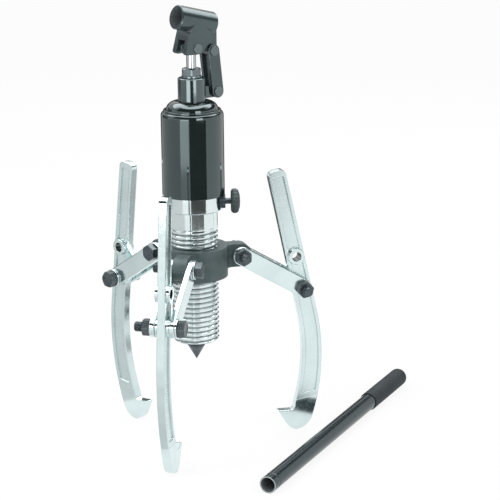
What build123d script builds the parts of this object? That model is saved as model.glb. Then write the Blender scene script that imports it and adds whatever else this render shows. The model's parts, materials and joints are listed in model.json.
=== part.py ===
"""Self-contained hydraulic gear puller with three jaws, in millimetres.

The screw axis is Z and the jaw feet stand on Z = 0. A hydraulic unit (threaded cylinder, ram,
oil reservoir, hand pump) screws through a cast carrier. Each of the carrier's three lugs holds
a pair of link plates, and each pair of links holds one forged jaw. The loose pump handle lies
beside the puller.
"""

import math
import os

from build123d import *

os.makedirs("parts", exist_ok=True)

# Clearances
running_gap = 0.05  # radial, a shaft or pin turning in its hole
side_gap = 0.2  # between flat faces that slide past each other
open_pivot_gap = 0.6  # radial, at the one pivot of the pump linkage that takes up its play

# Screw cylinder
thread_diameter = 68.0
thread_length = 172.0
cylinder_bottom = 158.0
plain_band_length = 24.0
cylinder_chamfer = 2.5
ram_bore_diameter = 50.0
ceiling_thickness = 8.0
collar_diameter = 82.0
collar_height = 22.5
collar_chamfer = 1.0
spigot_height = 12.0

# Ram, gland and centre point
ram_gland_length = 18.0
rod_diameter = 34.0
rod_overhang = 4.0
piston_length = 26.0
piston_rest_gap = 1.0
piston_chamfer = 1.5
point_stud_diameter = 16.0
point_stud_length = 22.0
point_diameter = 27.0
point_angle = 60.0
point_collar_length = 4.5
seal_width = 4.0
seal_depth = 3.0
spring_wire_width = 4.0
spring_wire_height = 6.0
spring_turns = 5.0

# Reservoir
tank_diameter = 90.0
tank_wall = 5.0
tank_height = 121.0
shoulder_height = 6.0
shoulder_lip = 1.3
cap_rim_height = 3.0
cap_step = 4.0
cap_dome_height = 12.0
cap_crown_reach = 31.4
cap_crown_height = 7.4
cap_top_diameter = 46.0
cap_wall = 4.0
cap_spigot_depth = 9.0
filler_diameter = 8.0
filler_boss_diameter = 13.0
filler_hex = 10.0
filler_head_height = 3.0
filler_length = 12.0
filler_radius = 29.0
filler_heading = 106.0

# Pump
pump_heading = 51.0
pump_body_diameter = 39.6
pump_body_height = 33.0
pump_body_chamfer = 1.0
barrel_diameter = 28.0
barrel_socket_depth = 8.0
barrel_floor = 20.0
gland_hex = 26.0
gland_hex_height = 10.0
gland_flange_diameter = 29.0
gland_flange_height = 3.5
gland_thread_diameter = 21.0
gland_thread_length = 11.0
packing_height = 9.0
plunger_diameter = 14.0
plunger_length = 170.0
plunger_pin_height = 588.0
plunger_pin_diameter = 10.0
rivet_head_diameter = 14.5
rivet_head_height = 1.8

# Pump linkage, in the upright plane of the pump
link_top_reach = 31.5
link_top_drop = 6.5
link_foot_reach = 38.0
link_foot_drop = 65.0
pump_link_width = 18.5
pump_link_thickness = 5.0
pump_lug_thickness = 14.0
pump_lug_radius = 8.5
link_pin_diameter = 9.0

# Handle socket
handle_diameter = 25.0
handle_entry_gap = 0.4
socket_diameter = 34.5
socket_length = 62.0
socket_depth = 54.0
socket_tilt = 14.0
socket_height = 39.0
socket_overhang = 24.7
socket_edge_chamfer = 1.2
cheek_front = 20.0
cheek_front_drop = 5.0
cheek_throat = 11.6
cheek_throat_height = 24.0
cheek_toe = 17.0
cheek_drop = 8.0
cheek_back = 6.0
notch_reach = 26.0
notch_height = 13.0
notch_top_height = 21.0
tongue_height = 31.0
plunger_slot = 15.5
plunger_slot_reach = 12.5
plunger_slot_height = 12.0

# Release valve
valve_heading = 16.0
valve_rise = 11.0
valve_boss_diameter = 21.0
valve_boss_length = 6.6
valve_boss_seat = 39.0
valve_boss_chamfer = 1.0
valve_thread_diameter = 14.0
valve_thread_length = 10.0
valve_stem_diameter = 8.8
valve_stem_depth = 14.0
knob_inner_radius = 53.4
knob_diameter = 36.0
knob_length = 13.6
knob_crown = 3.0
knob_edge = 2.0
valve_ball_diameter = 7.0
pocket_radius = 27.0
pocket_diameter = 9.0
pocket_depth = 24.0
pocket_plug_length = 7.0
passage_diameter = 4.0
pocket_wire = 1.2
pocket_spring_turns = 3.0
pocket_spring_gap = 0.5

# Carrier
hub_diameter = 96.0
hub_rise = 18.3
hub_drop = 26.7
lug_thickness = 20.6
lug_round = 17.0
inner_pivot_radius = 66.8
inner_pivot_height = 281.7
lug_root_round = 9.0

# Legs
front_heading = -90.0
right_heading = 30.0
left_heading = 150.0
front_lean_angle = 5.2
right_lean_angle = 10.4
left_lean_angle = 5.2
link_length = 110.0
link_width = 27.0
link_thickness = 8.0
link_edge_chamfer = 1.0

# Leg bolts
bolt_diameter = 14.0
bolt_hex = 22.0
bolt_head_height = 10.5
bolt_nut_height = 11.0
bolt_end_length = 12.0
bolt_end_chamfer = 1.2
washer_diameter = 28.0
washer_thickness = 2.5

# Jaw, about its lower hole: inner is towards the screw, drop is towards the foot.
# The foot's own heights are measured up from its sole.
jaw_thickness = 14.0
spare_hole_height = 47.8
jaw_boss_diameter = 24.0
arm_top_height = 182.0
arm_top_outer = 8.0
arm_top_inner = 18.3
arm_top_round = 9.0
bow_start_drop = 40.0
bow_start_outer = 16.5
bow_start_inner = 12.2
sole_drop = 219.5
sole_inner = 49.0
sole_outer = 42.0
bow_end_inner = 43.0
bow_end_height = 41.5
throat_inner = 46.5
throat_height = 31.0
throat_round = 5.0
toe_tip_inner = 71.0
toe_tip_height = 36.5
toe_root_inner = 62.0
toe_root_height = 13.0
heel_inner = 20.3
heel_height = 15.0
foot_thickness = 18.0
foot_height = 45.5
foot_chamfer = 3.0
forging_chamfer = 1.2
rim_width = 5.0
web_recess = 3.2
panel_top_height = 172.0
panel_foot_gap = 8.0
panel_round = 3.0

# Pump handle on the floor
handle_length = 480.0
handle_wall = 2.0
handle_heading = 77.8
handle_end_x = 150.0
handle_end_y = -179.0
groove_distance = 13.0
groove_width = 2.0
groove_depth = 0.5
grip_seat_depth = 0.4
grip_seat_lead = 1.0
grip_length = 134.0
grip_wall = 1.6
grip_end_wall = 16.0
grip_end_round = 9.0

# Heights and radii that follow from the sizes above
collar_bottom = cylinder_bottom + thread_length + plain_band_length
collar_top = collar_bottom + collar_height
spigot_top = collar_top + spigot_height
ram_ceiling = collar_bottom - ceiling_thickness
tank_top = collar_top + tank_height
tank_inner_radius = tank_diameter / 2 - tank_wall
cap_shoulder = tank_top + cap_rim_height
cap_top = cap_shoulder + cap_dome_height
pump_top = cap_top + pump_body_height
barrel_bottom = spigot_top - barrel_socket_depth
link_gap = lug_thickness / 2 + side_gap
link_face = link_gap + link_thickness
seat_face = link_face + side_gap
hinge_bore = bolt_diameter / 2 + running_gap
hub_bottom = inner_pivot_height - hub_drop
hub_height = hub_rise + hub_drop
hub_wall_middle = (hub_diameter + thread_diameter) / 4
lug_reach = inner_pivot_radius - hub_wall_middle
link_foot_height = plunger_pin_height - link_foot_drop
link_top_height = plunger_pin_height - link_top_drop
bow_end_drop = sole_drop - bow_end_height
throat_drop = sole_drop - throat_height
toe_tip_drop = sole_drop - toe_tip_height
toe_root_drop = sole_drop - toe_root_height
heel_drop = sole_drop - heel_height
foot_top_drop = sole_drop - foot_height
panel_bottom_drop = foot_top_drop - panel_foot_gap

# Each leg's heading round the screw, and its jaw's lean
leg_headings = {"front": front_heading, "right": right_heading, "left": left_heading}
jaw_leans = {"front": front_lean_angle, "right": right_lean_angle, "left": left_lean_angle}


def upright_plane(heading, radius=0.0, height=0.0):
    """Vertical plane through the screw axis: X runs outwards along the heading, Y runs up."""
    angle = math.radians(heading)
    outwards = Vector(math.cos(angle), math.sin(angle), 0)
    return Plane(
        origin=outwards * radius + Vector(0, 0, height),
        x_dir=outwards,
        z_dir=outwards.cross(Vector(0, 0, 1)),
    )


def outward_plane(heading, radius, height):
    """Plane facing outwards along the heading, its origin on the heading's line."""
    upright = upright_plane(heading, radius, height)
    return Plane(origin=upright.origin, x_dir=upright.z_dir, z_dir=upright.x_dir)


def turned(plane, degrees):
    """The same plane turned about its own normal."""
    return Plane(plane.location * Location((0, 0, 0), (0, 0, degrees)))


def save(piece, name):
    """Label a finished piece and write it to its own file."""
    piece.part.label = name
    export_step(piece.part, f"parts/{name}.step")


def save_placed(piece, places, name):
    """Write one or more copies of a piece, each at its place, to one file."""
    with BuildPart() as copies:
        with Locations(*places):
            add(piece.part)
    save(copies, name)


def coil(mean_radius, wire_width, wire_height, bottom, top, turns):
    """Compression spring of flat wire standing between two heights."""
    rise = (top - bottom - wire_height) / turns
    with BuildPart() as spring:
        with BuildLine():
            Helix(rise, rise * turns, mean_radius, center=(0, 0, bottom + wire_height / 2))
        start = Plane(origin=(mean_radius, 0, bottom + wire_height / 2), z_dir=(0, -1, 0), x_dir=(1, 0, 0))
        with BuildSketch(start):
            Rectangle(wire_width, wire_height)
        sweep(is_frenet=True)
    return spring


# ---------------------------------------------------------------- threaded cylinder

ram_radius = ram_bore_diameter / 2
collar_radius = collar_diameter / 2
spigot_radius = tank_inner_radius - running_gap
valve_height = collar_bottom + valve_rise
tank_seal_height = collar_top + spigot_height / 2
pocket_floor = spigot_top - pocket_depth

with BuildPart() as threaded_cylinder:
    with BuildSketch(Plane.XY.offset(cylinder_bottom)):
        Circle(thread_diameter / 2)
    extrude(amount=thread_length + plain_band_length)
    chamfer(threaded_cylinder.faces().sort_by(Axis.Z)[0].edges(), cylinder_chamfer)
    with BuildSketch(Plane.XY.offset(collar_bottom)):
        Circle(collar_radius)
    extrude(amount=collar_height)
    chamfer(threaded_cylinder.faces().sort_by(Axis.Z)[-1].edges(), collar_chamfer)
    with BuildSketch(Plane.XY.offset(collar_top)):
        Circle(spigot_radius)
    extrude(amount=spigot_height)
    # ram chamber, open at the bottom
    with BuildSketch(Plane.XY.offset(cylinder_bottom)):
        Circle(ram_radius)
    extrude(amount=ram_ceiling - cylinder_bottom, mode=Mode.SUBTRACT)
    # socket for the pump barrel
    with BuildSketch(Plane.XY.offset(barrel_bottom)):
        Circle(barrel_diameter / 2)
    extrude(amount=barrel_socket_depth, mode=Mode.SUBTRACT)
    # groove for the tank seal
    with BuildSketch(Plane.XY.offset(tank_seal_height - seal_width / 2)):
        Circle(spigot_radius)
        Circle(spigot_radius - seal_depth, mode=Mode.SUBTRACT)
    extrude(amount=seal_width, mode=Mode.SUBTRACT)
    # suction and delivery pockets and the passage from delivery to the ram
    with BuildSketch(Plane.XY.offset(spigot_top)):
        with PolarLocations(pocket_radius, 2, start_angle=valve_heading + 90):
            Circle(pocket_diameter / 2)
    extrude(amount=-pocket_depth, mode=Mode.SUBTRACT)
    with BuildSketch(Plane.XY.offset(ram_ceiling)):
        with PolarLocations(ram_radius - passage_diameter, 1, start_angle=valve_heading + 90):
            Circle(passage_diameter / 2)
    extrude(amount=pocket_floor - ram_ceiling, mode=Mode.SUBTRACT)
    # release valve: spot face, threaded hole and drilling
    with BuildSketch(outward_plane(valve_heading, valve_boss_seat, valve_height)):
        Circle(valve_boss_diameter / 2)
    extrude(amount=valve_boss_seat, mode=Mode.SUBTRACT)
    with BuildSketch(outward_plane(valve_heading, valve_boss_seat, valve_height)):
        Circle(valve_thread_diameter / 2)
    extrude(amount=-valve_thread_length, mode=Mode.SUBTRACT)
    with BuildSketch(outward_plane(valve_heading, valve_boss_seat, valve_height)):
        Circle(pocket_diameter / 2)
    extrude(amount=-valve_stem_depth - valve_ball_diameter, mode=Mode.SUBTRACT)
save(threaded_cylinder, "threaded_cylinder")

# ---------------------------------------------------------------- ram, seals, centre point

rod_radius = rod_diameter / 2
rod_end = cylinder_bottom - rod_overhang
piston_top = ram_ceiling - piston_rest_gap
piston_bottom = piston_top - piston_length
piston_seal_bottom = piston_top - piston_length / 2 - seal_width / 2
gland_top = cylinder_bottom + ram_gland_length
wiper_bottom = cylinder_bottom + seal_width

with BuildPart() as ram:
    with BuildSketch(Plane.XY.offset(rod_end)):
        Circle(rod_radius)
    extrude(amount=piston_bottom - rod_end)
    with BuildSketch(Plane.XY.offset(piston_bottom)):
        Circle(ram_radius - running_gap)
    extrude(amount=piston_length)
    chamfer(ram.faces().sort_by(Axis.Z)[-1].edges(), piston_chamfer)
    with BuildSketch(Plane.XY.offset(piston_seal_bottom)):
        Circle(ram_radius)
        Circle(ram_radius - seal_depth, mode=Mode.SUBTRACT)
    extrude(amount=seal_width, mode=Mode.SUBTRACT)
    with BuildSketch(Plane.XY.offset(rod_end)):
        Circle(point_stud_diameter / 2)
    extrude(amount=point_stud_length, mode=Mode.SUBTRACT)
save(ram, "ram")

with BuildPart() as piston_seal:
    with BuildSketch(Plane.XY.offset(piston_seal_bottom)):
        Circle(ram_radius - running_gap)
        Circle(ram_radius - seal_depth, mode=Mode.SUBTRACT)
    extrude(amount=seal_width)
save(piston_seal, "piston_seal")

with BuildPart() as ram_gland:
    with BuildSketch(Plane.XY.offset(cylinder_bottom)):
        Circle(ram_radius)
        Circle(rod_radius + running_gap, mode=Mode.SUBTRACT)
    extrude(amount=ram_gland_length)
    with BuildSketch(Plane.XY.offset(wiper_bottom - running_gap)):
        Circle(rod_radius + seal_depth)
        Circle(rod_radius, mode=Mode.SUBTRACT)
    extrude(amount=seal_width + 2 * running_gap, mode=Mode.SUBTRACT)
save(ram_gland, "ram_gland")

with BuildPart() as rod_wiper:
    with BuildSketch(Plane.XY.offset(wiper_bottom)):
        Circle(rod_radius + seal_depth - running_gap)
        Circle(rod_radius + running_gap, mode=Mode.SUBTRACT)
    extrude(amount=seal_width)
save(rod_wiper, "rod_wiper")

spring_radius = (ram_radius + rod_radius) / 2
return_spring = coil(
    spring_radius, spring_wire_width, spring_wire_height, gland_top, piston_bottom, spring_turns
)
save(return_spring, "return_spring")

cone_base = rod_end - point_collar_length
cone_height = point_diameter / 2 / math.tan(math.radians(point_angle / 2))

with BuildPart() as centre_point:
    with BuildSketch(Plane.XZ):
        with BuildLine():
            Polyline(
                (0, cone_base - cone_height),
                (point_diameter / 2, cone_base),
                (point_diameter / 2, rod_end),
                (point_stud_diameter / 2, rod_end),
                (point_stud_diameter / 2, rod_end + point_stud_length),
                (0, rod_end + point_stud_length),
                close=True,
            )
        make_face()
    revolve(axis=Axis.Z)
save(centre_point, "centre_point")

# ---------------------------------------------------------------- check valves in the cylinder head


def save_check_valve(heading, name):
    """Ball, spring and plug in one pocket of the cylinder head."""
    angle = math.radians(heading)
    x = pocket_radius * math.cos(angle)
    y = pocket_radius * math.sin(angle)
    ball_top = pocket_floor + valve_ball_diameter
    plug_bottom = spigot_top - pocket_plug_length
    with BuildPart() as ball:
        with Locations((x, y, pocket_floor + valve_ball_diameter / 2)):
            Sphere(valve_ball_diameter / 2)
    save(ball, f"{name}_ball")
    mean_radius = (pocket_diameter - pocket_wire) / 2 - pocket_spring_gap
    spring = coil(mean_radius, pocket_wire, pocket_wire, ball_top, plug_bottom, pocket_spring_turns)
    save_placed(spring, [(x, y, 0)], f"{name}_spring")
    with BuildPart() as plug:
        with BuildSketch(Plane.XY.offset(plug_bottom)):
            with Locations((x, y)):
                Circle(pocket_diameter / 2)
                Circle(passage_diameter / 2, mode=Mode.SUBTRACT)
        extrude(amount=pocket_plug_length)
    save(plug, f"{name}_plug")


save_check_valve(valve_heading + 90, "delivery_valve")
save_check_valve(valve_heading + 270, "suction_valve")

# ---------------------------------------------------------------- release valve

valve_axis = Axis((0, 0, valve_height), outward_plane(valve_heading, 0, 0).z_dir)

with BuildPart() as valve_body:
    with BuildSketch(outward_plane(valve_heading, valve_boss_seat, valve_height)):
        Circle(valve_boss_diameter / 2)
    extrude(amount=valve_boss_length)
    chamfer(valve_body.faces().sort_by(valve_axis)[-1].edges(), valve_boss_chamfer)
    with BuildSketch(outward_plane(valve_heading, valve_boss_seat, valve_height)):
        Circle(valve_thread_diameter / 2)
    extrude(amount=-valve_thread_length)
    with BuildSketch(outward_plane(valve_heading, valve_boss_seat - valve_thread_length, valve_height)):
        Circle(valve_stem_diameter / 2 + running_gap)
    extrude(amount=valve_thread_length + valve_boss_length, mode=Mode.SUBTRACT)
save(valve_body, "release_valve_body")

stem_start = valve_boss_seat - valve_stem_depth
with BuildPart() as valve_stem:
    with BuildSketch(outward_plane(valve_heading, stem_start, valve_height)):
        Circle(valve_stem_diameter / 2)
    extrude(amount=knob_inner_radius + knob_length / 2 - stem_start)
save(valve_stem, "release_valve_stem")

with BuildPart() as valve_ball:
    place = outward_plane(valve_heading, stem_start - valve_ball_diameter / 2, valve_height)
    with Locations(place.origin):
        Sphere(valve_ball_diameter / 2)
save(valve_ball, "release_valve_ball")

with BuildPart() as valve_knob:
    with BuildSketch(upright_plane(valve_heading, knob_inner_radius, valve_height)):
        with BuildLine():
            Polyline(
                (knob_length / 2, 0),
                (knob_length / 2, valve_stem_diameter / 2),
                (0, valve_stem_diameter / 2),
                (0, knob_diameter / 2 - knob_edge),
                (knob_edge, knob_diameter / 2),
                (knob_length - knob_crown - knob_edge, knob_diameter / 2),
                (knob_length - knob_crown, knob_diameter / 2 - knob_edge),
            )
            TangentArc(
                (knob_length, 0),
                (knob_length - knob_crown, knob_diameter / 2 - knob_edge),
                tangent=(0, 1),
            )
            Line((knob_length, 0), (knob_length / 2, 0))
        make_face()
    revolve(axis=valve_axis)
save(valve_knob, "release_valve_knob")

# ---------------------------------------------------------------- reservoir

with BuildPart() as reservoir_tube:
    with BuildSketch(Plane.XZ):
        with BuildLine():
            outer = Polyline(
                (tank_inner_radius, collar_top),
                (tank_diameter / 2, collar_top),
                (tank_diameter / 2, tank_top - shoulder_height),
            )
            TangentArc(
                outer @ 1,
                (tank_inner_radius + shoulder_lip, tank_top),
                tangent=(0, 1),
            )
            Polyline(
                (tank_inner_radius + shoulder_lip, tank_top),
                (tank_inner_radius, tank_top),
                (tank_inner_radius, collar_top),
            )
        make_face()
    revolve(axis=Axis.Z)
save(reservoir_tube, "reservoir_tube")

with BuildPart() as tank_seal:
    with BuildSketch(Plane.XY.offset(tank_seal_height - seal_width / 2)):
        Circle(spigot_radius)
        Circle(spigot_radius - seal_depth, mode=Mode.SUBTRACT)
    extrude(amount=seal_width)
save(tank_seal, "tank_seal")

rim_radius = tank_inner_radius + shoulder_lip
dome_radius = rim_radius - cap_step

with BuildPart() as reservoir_cap:
    with BuildSketch(Plane.XY.offset(tank_top)):
        Circle(rim_radius)
    extrude(amount=cap_rim_height)
    with BuildSketch(Plane.XZ):
        with BuildLine():
            side = Line((0, tank_top), (dome_radius, tank_top))
            rise = Line(side @ 1, (dome_radius, cap_shoulder))
            crown = ThreePointArc(
                rise @ 1,
                (cap_crown_reach, cap_shoulder + cap_crown_height),
                (cap_top_diameter / 2, cap_top),
            )
            lid = Line(crown @ 1, (0, cap_top))
            Line(lid @ 1, side @ 0)
        make_face()
    revolve(axis=Axis.Z)
    with BuildSketch(Plane.XY.offset(tank_top - cap_spigot_depth)):
        Circle(spigot_radius)
    extrude(amount=cap_spigot_depth)
    with BuildSketch(Plane.XY.offset(tank_top)):
        with PolarLocations(filler_radius, 1, start_angle=filler_heading):
            Circle(filler_boss_diameter / 2)
    extrude(amount=cap_shoulder + cap_dome_height - tank_top)
    with BuildSketch(Plane.XY.offset(tank_top - cap_spigot_depth)):
        Circle(dome_radius - cap_wall)
    extrude(amount=cap_spigot_depth + cap_rim_height, mode=Mode.SUBTRACT)
    with BuildSketch(Plane.XY.offset(tank_top)):
        Circle(barrel_diameter / 2)
        with PolarLocations(filler_radius, 1, start_angle=filler_heading):
            Circle(filler_diameter / 2)
    extrude(amount=cap_top - tank_top, mode=Mode.SUBTRACT)
save(reservoir_cap, "reservoir_cap")

with BuildPart() as filler_screw:
    with BuildSketch(Plane.XY.offset(cap_top)):
        with PolarLocations(filler_radius, 1, start_angle=filler_heading):
            RegularPolygon(filler_hex / 2, 6, major_radius=False)
    extrude(amount=filler_head_height)
    with BuildSketch(Plane.XY.offset(cap_top)):
        with PolarLocations(filler_radius, 1, start_angle=filler_heading):
            Circle(filler_diameter / 2)
    extrude(amount=-filler_length)
save(filler_screw, "filler_screw")

# ---------------------------------------------------------------- pump

pump_plane = upright_plane(pump_heading)
packing_bottom = pump_top - gland_thread_length - packing_height
link_inner_face = pump_lug_thickness / 2 + side_gap
link_outer_face = link_inner_face + pump_link_thickness

with BuildPart() as pump_cylinder:
    with BuildSketch(Plane.XY.offset(cap_top)):
        Circle(pump_body_diameter / 2)
    extrude(amount=pump_body_height)
    chamfer(pump_cylinder.faces().sort_by(Axis.Z)[-1].edges(), pump_body_chamfer)
    with BuildSketch(Plane.XY.offset(barrel_bottom)):
        Circle(barrel_diameter / 2)
    extrude(amount=cap_top - barrel_bottom)
    with BuildSketch(pump_plane):
        with Locations((link_foot_reach, link_foot_height)):
            Circle(pump_lug_radius)
        with Locations((link_foot_reach / 2, link_foot_height)):
            Rectangle(link_foot_reach, 2 * pump_lug_radius)
    extrude(amount=pump_lug_thickness / 2, both=True)
    with BuildSketch(Plane.XY.offset(barrel_bottom + barrel_floor)):
        Circle(plunger_diameter / 2 + running_gap)
    extrude(amount=pump_top - barrel_bottom - barrel_floor, mode=Mode.SUBTRACT)
    with BuildSketch(Plane.XY.offset(packing_bottom)):
        Circle(gland_thread_diameter / 2)
    extrude(amount=pump_top - packing_bottom, mode=Mode.SUBTRACT)
    with BuildSketch(pump_plane):
        with Locations((link_foot_reach, link_foot_height)):
            Circle(link_pin_diameter / 2)
    extrude(amount=pump_lug_thickness, both=True, mode=Mode.SUBTRACT)
save(pump_cylinder, "pump_cylinder")

with BuildPart() as plunger_packing:
    with BuildSketch(Plane.XY.offset(packing_bottom)):
        Circle(gland_thread_diameter / 2)
        Circle(plunger_diameter / 2 + running_gap, mode=Mode.SUBTRACT)
    extrude(amount=packing_height)
save(plunger_packing, "plunger_packing")

with BuildPart() as gland_nut:
    with BuildSketch(Plane.XY.offset(pump_top - gland_thread_length)):
        Circle(gland_thread_diameter / 2)
    extrude(amount=gland_thread_length)
    with BuildSketch(Plane.XY.offset(pump_top)):
        Circle(gland_flange_diameter / 2)
    extrude(amount=gland_flange_height)
    with BuildSketch(Plane.XY.offset(pump_top + gland_flange_height)):
        RegularPolygon(gland_hex / 2, 6, major_radius=False)
    extrude(amount=gland_hex_height)
    with BuildSketch(Plane.XY.offset(pump_top - gland_thread_length)):
        Circle(plunger_diameter / 2 + running_gap)
    extrude(amount=gland_thread_length + gland_flange_height + gland_hex_height, mode=Mode.SUBTRACT)
save(gland_nut, "gland_nut")

plunger_round = plunger_diameter / 2
with BuildPart() as plunger:
    with BuildSketch(Plane.XY.offset(plunger_pin_height + plunger_round - plunger_length)):
        Circle(plunger_round)
    extrude(amount=plunger_length)
    with BuildSketch(pump_plane):
        with Locations((0, plunger_pin_height - plunger_length / 2)):
            Rectangle(plunger_diameter, plunger_length)
        with Locations((0, plunger_pin_height)):
            Circle(plunger_round)
    extrude(amount=plunger_round, both=True, mode=Mode.INTERSECT)
    with BuildSketch(pump_plane):
        with Locations((0, plunger_pin_height)):
            Circle(plunger_pin_diameter / 2 + running_gap)
    extrude(amount=plunger_diameter, both=True, mode=Mode.SUBTRACT)
save(plunger, "plunger")

tilt = math.radians(socket_tilt)
mouth_reach = -socket_overhang * math.cos(tilt)
mouth_height = plunger_pin_height + socket_height + socket_overhang * math.sin(tilt)
mouth_centre = pump_plane.from_local_coords((mouth_reach, mouth_height, 0))
mouth_axis = pump_plane.x_dir * -math.cos(tilt) + Vector(0, 0, math.sin(tilt))
mouth_plane = Plane(origin=mouth_centre, x_dir=pump_plane.z_dir, z_dir=mouth_axis)
tube_middle = (0, plunger_pin_height + socket_height)

with BuildPart() as handle_socket:
    with BuildSketch(mouth_plane):
        Circle(socket_diameter / 2)
    extrude(amount=-socket_length)
    chamfer(handle_socket.edges().filter_by(GeomType.CIRCLE), socket_edge_chamfer)
    # cheeks that hold the plunger
    with BuildSketch(pump_plane) as cheeks:
        with BuildLine():
            Polyline(
                tube_middle,
                (-cheek_throat, plunger_pin_height + cheek_throat_height),
                (-cheek_front, plunger_pin_height - cheek_front_drop),
                (-cheek_toe, plunger_pin_height - cheek_drop),
                (cheek_back, plunger_pin_height - cheek_drop),
                (notch_reach, plunger_pin_height + notch_height),
                (notch_reach, plunger_pin_height + notch_top_height),
                close=True,
            )
        make_face()
    extrude(amount=socket_diameter / 2 - side_gap, both=True)
    # tongue that holds the pump link
    with BuildSketch(pump_plane):
        with Locations((link_top_reach, link_top_height)):
            Circle(pump_lug_radius)
        with Locations((link_top_reach, link_top_height)):
            Rectangle(2 * pump_lug_radius, tongue_height, align=(Align.CENTER, Align.MIN))
    extrude(amount=pump_lug_thickness / 2, both=True)
    # slot for the plunger, bores for the pins and the handle
    with BuildSketch(pump_plane):
        with Locations((plunger_slot_reach, plunger_pin_height + plunger_slot_height)):
            Rectangle(3 * socket_diameter, 3 * socket_diameter, align=(Align.MAX, Align.MAX))
    extrude(amount=plunger_slot / 2, both=True, mode=Mode.SUBTRACT)
    with BuildSketch(pump_plane):
        with Locations((0, plunger_pin_height)):
            Circle(plunger_pin_diameter / 2)
        with Locations((link_top_reach, link_top_height)):
            Circle(link_pin_diameter / 2 + open_pivot_gap)
    extrude(amount=socket_diameter, both=True, mode=Mode.SUBTRACT)
    with BuildSketch(mouth_plane):
        Circle(handle_diameter / 2 + handle_entry_gap)
    extrude(amount=-socket_depth, mode=Mode.SUBTRACT)
save(handle_socket, "handle_socket")


def save_pin(diameter, span, reach, height, name):
    """Riveted pin through the pump linkage, its heads outside the given half width."""
    with BuildPart() as pin:
        with BuildSketch(pump_plane):
            with Locations((reach, height)):
                Circle(diameter / 2)
        extrude(amount=span, both=True)
        for side in (1, -1):
            with BuildSketch(pump_plane.offset(side * span)):
                with Locations((reach, height)):
                    Circle(rivet_head_diameter / 2)
            extrude(amount=side * rivet_head_height)
    save(pin, name)


save_pin(plunger_pin_diameter, socket_diameter / 2 - side_gap, 0, plunger_pin_height, "plunger_pin")
save_pin(link_pin_diameter, link_outer_face, link_top_reach, link_top_height, "link_top_pin")
save_pin(link_pin_diameter, link_outer_face + side_gap, link_foot_reach, link_foot_height, "link_foot_pin")

link_rise = link_top_height - link_foot_height
link_lean = math.degrees(math.atan2(link_foot_reach - link_top_reach, link_rise))
link_span = math.hypot(link_foot_reach - link_top_reach, link_rise)
link_foot_place = pump_plane.from_local_coords((link_foot_reach, link_foot_height, 0))
pump_link_upright = Plane(origin=link_foot_place, x_dir=pump_plane.x_dir, z_dir=pump_plane.z_dir)
pump_link_plane = turned(pump_link_upright, 90 + link_lean)

for side, name in ((1, "pump_link_near"), (-1, "pump_link_far")):
    with BuildPart() as pump_link:
        with BuildSketch(pump_link_plane.offset(side * link_inner_face)):
            with Locations((link_span / 2, 0)):
                SlotCenterToCenter(link_span, pump_link_width)
            Circle(link_pin_diameter / 2 + running_gap, mode=Mode.SUBTRACT)
            with Locations((link_span, 0)):
                Circle(link_pin_diameter / 2, mode=Mode.SUBTRACT)
        extrude(amount=side * pump_link_thickness)
    save(pump_link, name)

# ---------------------------------------------------------------- carrier

with BuildPart() as carrier:
    with BuildSketch(Plane.XY.offset(hub_bottom)):
        Circle(hub_diameter / 2)
    extrude(amount=hub_height)
    for heading in leg_headings.values():
        with BuildSketch(upright_plane(heading)):
            with Locations((inner_pivot_radius, inner_pivot_height)):
                Circle(lug_round)
            with Locations((hub_wall_middle, inner_pivot_height)):
                Rectangle(lug_reach, 2 * lug_round, align=(Align.MIN, Align.CENTER))
        extrude(amount=lug_thickness / 2, both=True)
    roots = carrier.edges().filter_by(Axis.Z).filter_by(
        lambda e: math.hypot(e.center().X, e.center().Y) < hub_diameter / 2 + lug_root_round
    )
    fillet(roots, lug_root_round)
    with BuildSketch(Plane.XY.offset(hub_bottom)):
        Circle(thread_diameter / 2 + running_gap)
    extrude(amount=hub_height, mode=Mode.SUBTRACT)
    for heading in leg_headings.values():
        with BuildSketch(upright_plane(heading, inner_pivot_radius, inner_pivot_height)):
            Circle(bolt_diameter / 2)
        extrude(amount=lug_thickness, both=True, mode=Mode.SUBTRACT)
save(carrier, "carrier")

# ---------------------------------------------------------------- link plates

with BuildPart() as link_plate:
    with BuildSketch(Plane.XY.offset(link_gap)):
        with Locations((link_length / 2, 0)):
            SlotCenterToCenter(link_length, link_width)
    extrude(amount=link_thickness)
    chamfer(link_plate.faces().filter_by(Axis.Z).edges(), link_edge_chamfer)
    with BuildSketch(Plane.XY.offset(link_gap)):
        with Locations((0, 0), (link_length, 0)):
            Circle(hinge_bore)
    extrude(amount=link_thickness, mode=Mode.SUBTRACT)

# ---------------------------------------------------------------- leg fasteners

head_bottom = seat_face + washer_thickness

with BuildPart() as leg_bolt:
    with BuildSketch(Plane.XY.offset(-seat_face - bolt_nut_height - bolt_end_length)):
        Circle(bolt_diameter / 2)
    extrude(amount=head_bottom + seat_face + bolt_nut_height + bolt_end_length)
    chamfer(leg_bolt.faces().sort_by(Axis.Z)[0].edges(), bolt_end_chamfer)
    with BuildSketch(Plane.XY.offset(head_bottom)):
        RegularPolygon(bolt_hex / 2, 6, major_radius=False)
    extrude(amount=bolt_head_height)

with BuildPart() as leg_nut:
    with BuildSketch(Plane.XY.offset(-seat_face)):
        RegularPolygon(bolt_hex / 2, 6, major_radius=False)
        Circle(bolt_diameter / 2, mode=Mode.SUBTRACT)
    extrude(amount=-bolt_nut_height)

with BuildPart() as leg_washer:
    with BuildSketch(Plane.XY.offset(seat_face)):
        Circle(washer_diameter / 2)
        Circle(bolt_diameter / 2, mode=Mode.SUBTRACT)
    extrude(amount=washer_thickness)

# ---------------------------------------------------------------- jaw

jaw_boss_half = lug_thickness / 2


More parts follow.
